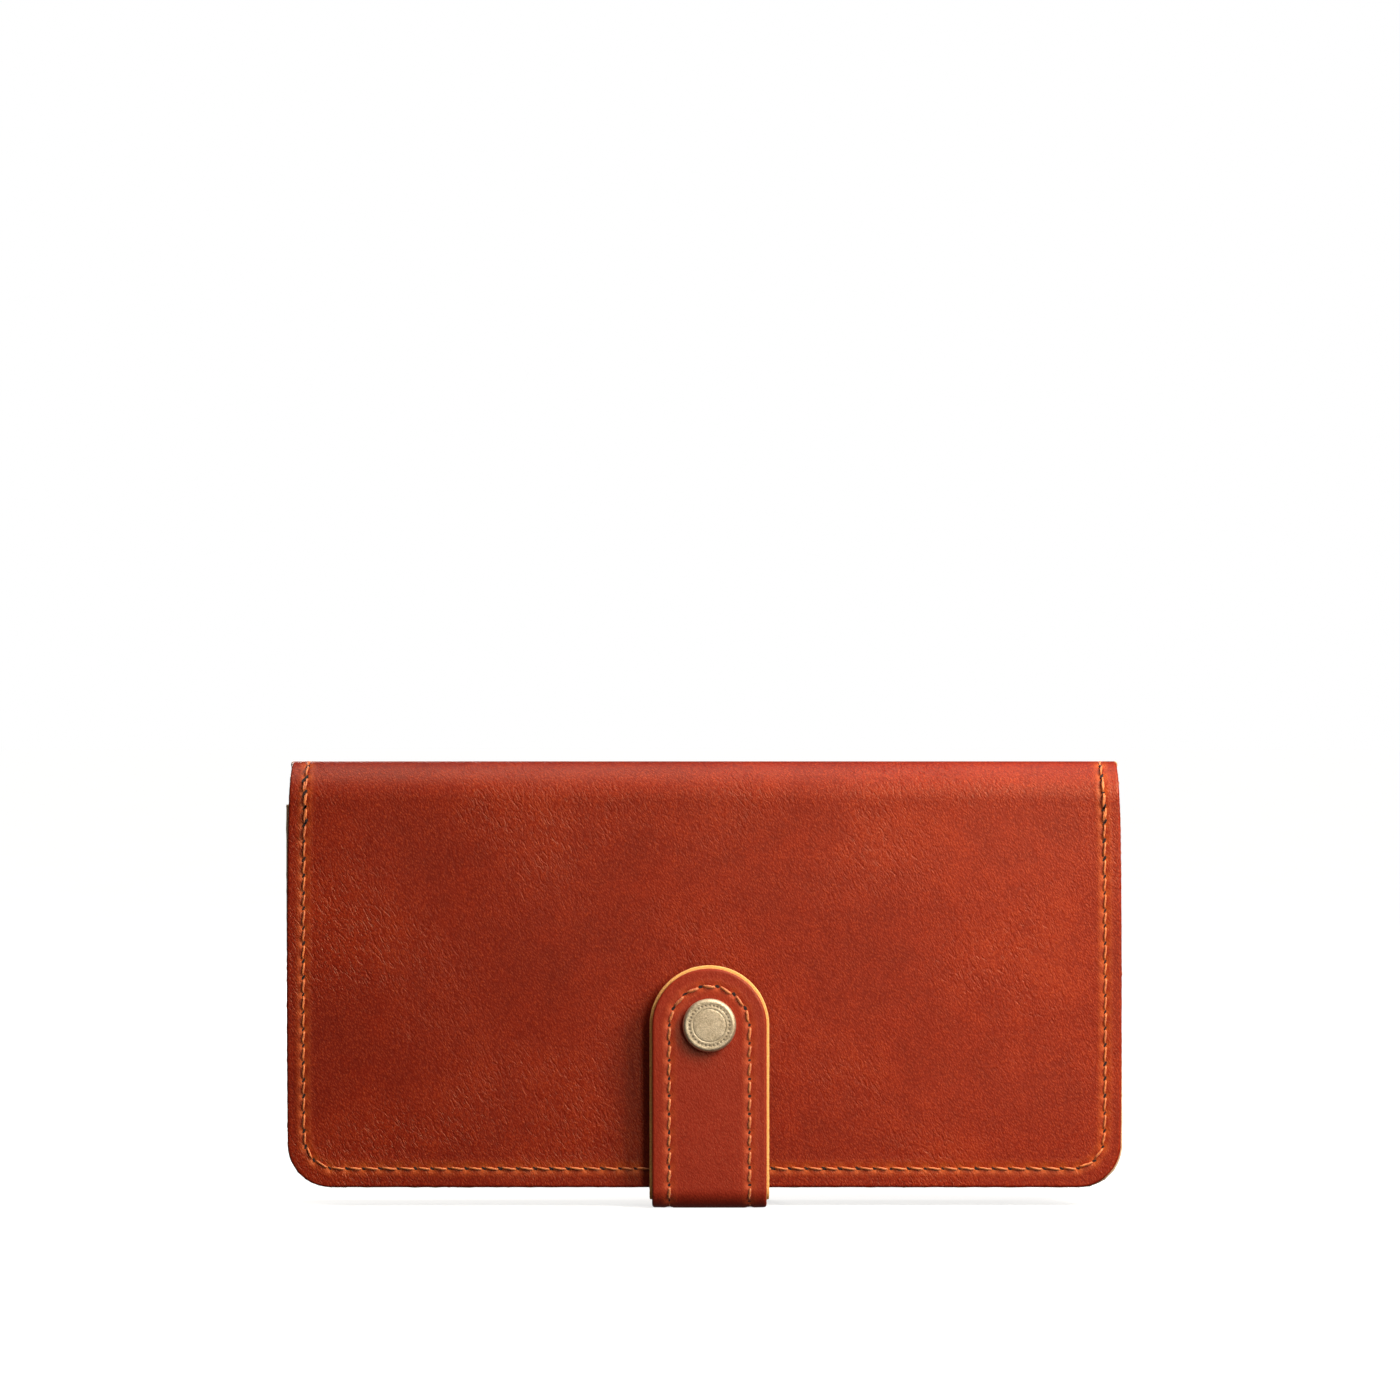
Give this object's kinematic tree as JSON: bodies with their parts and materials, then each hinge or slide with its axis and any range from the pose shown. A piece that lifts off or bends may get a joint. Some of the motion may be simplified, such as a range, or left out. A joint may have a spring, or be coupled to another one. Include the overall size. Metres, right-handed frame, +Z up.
{
  "type": "long wallet",
  "caption": "Long leather wallet with a rounded spine, card tiers, a zipped coin pocket and a snap strap that wraps under the lower edge.",
  "frame": {"origin": "on the surface under the bend of the strap, below the middle of the wallet's width and thickness, with the wallet upright and its spine on top", "axes": "+X across the wallet's width, to the right as seen from the front; +Y from the front cover to the back cover; +Z up, from the open edge to the spine"},
  "size_m": [0.196, 0.0306, 0.1048],
  "materials": {
    "outer_leather": "pull-up, satin",
    "strap_leather": "pull-up, satin",
    "strap_lining_leather": "raw edge, matt",
    "inner_leather": "natural, satin",
    "thread": "waxed",
    "zip_tape": "woven, matt",
    "zip_metal": "antique",
    "snap_metal": "antique, satin"
  },
  "bodies": {
    "back_leaf": {"back_cover": "outer_leather", "back_lining": "inner_leather", "card_tier_1": "inner_leather", "card_tier_2": "inner_leather", "card_tier_3": "inner_leather", "card_tier_4": "inner_leather", "card_divider_thread": "thread", "back_seam_thread": "thread", "strap_tail_outer": "strap_leather", "strap_tail_lining": "strap_lining_leather", "strap_tail_thread": "thread"},
    "spine": {"spine_cover": "outer_leather", "spine_lining": "inner_leather", "spine_threads": "thread"},
    "front_leaf": {"front_cover": "outer_leather", "front_lining": "inner_leather", "coin_pocket_panel": "inner_leather", "zip_tape_lower": "zip_tape", "zip_tape_upper": "zip_tape", "zip_teeth_lower": "zip_metal", "zip_teeth_upper": "zip_metal", "zip_top_stops": "zip_metal", "zip_bottom_stop": "zip_metal", "zip_seam_threads": "thread", "front_seam_thread": "thread", "snap_stud": "snap_metal", "snap_eyelet": "snap_metal"},
    "strap_tab": {"strap_tab_outer": "strap_leather", "strap_tab_lining": "strap_lining_leather", "strap_tab_thread": "thread", "snap_cap": "snap_metal", "snap_socket": "snap_metal", "snap_spring": "snap_metal"},
    "zip_slide_body": {"zip_slider": "zip_metal", "zip_puller": "zip_metal"}
  },
  "joints": [
    {"name": "spine_fold", "type": "hinge", "parent": "back_leaf", "child": "spine", "pos_m": [0, 0.0081, 0.10012], "axis": [-1, 0, 0], "range_deg": [0, 90]},
    {"name": "cover_open", "type": "hinge", "parent": "spine", "child": "front_leaf", "pos_m": [0, -0.0081, 0.10012], "axis": [-1, 0, 0], "range_deg": [0, 90]},
    {"name": "strap_open", "type": "hinge", "parent": "back_leaf", "child": "strap_tab", "pos_m": [0.0012, -0.0136, 0.0018], "axis": [1, 0, 0], "range_deg": [0, 86]},
    {"name": "zip_slide", "type": "slide", "parent": "front_leaf", "child": "zip_slide_body", "axis": [1, 0, 0], "range_m": [0, 0.14]}
  ],
  "couplings": [
    {"joint": "spine_fold", "follows": "cover_open", "ratio": 1}
  ]
}
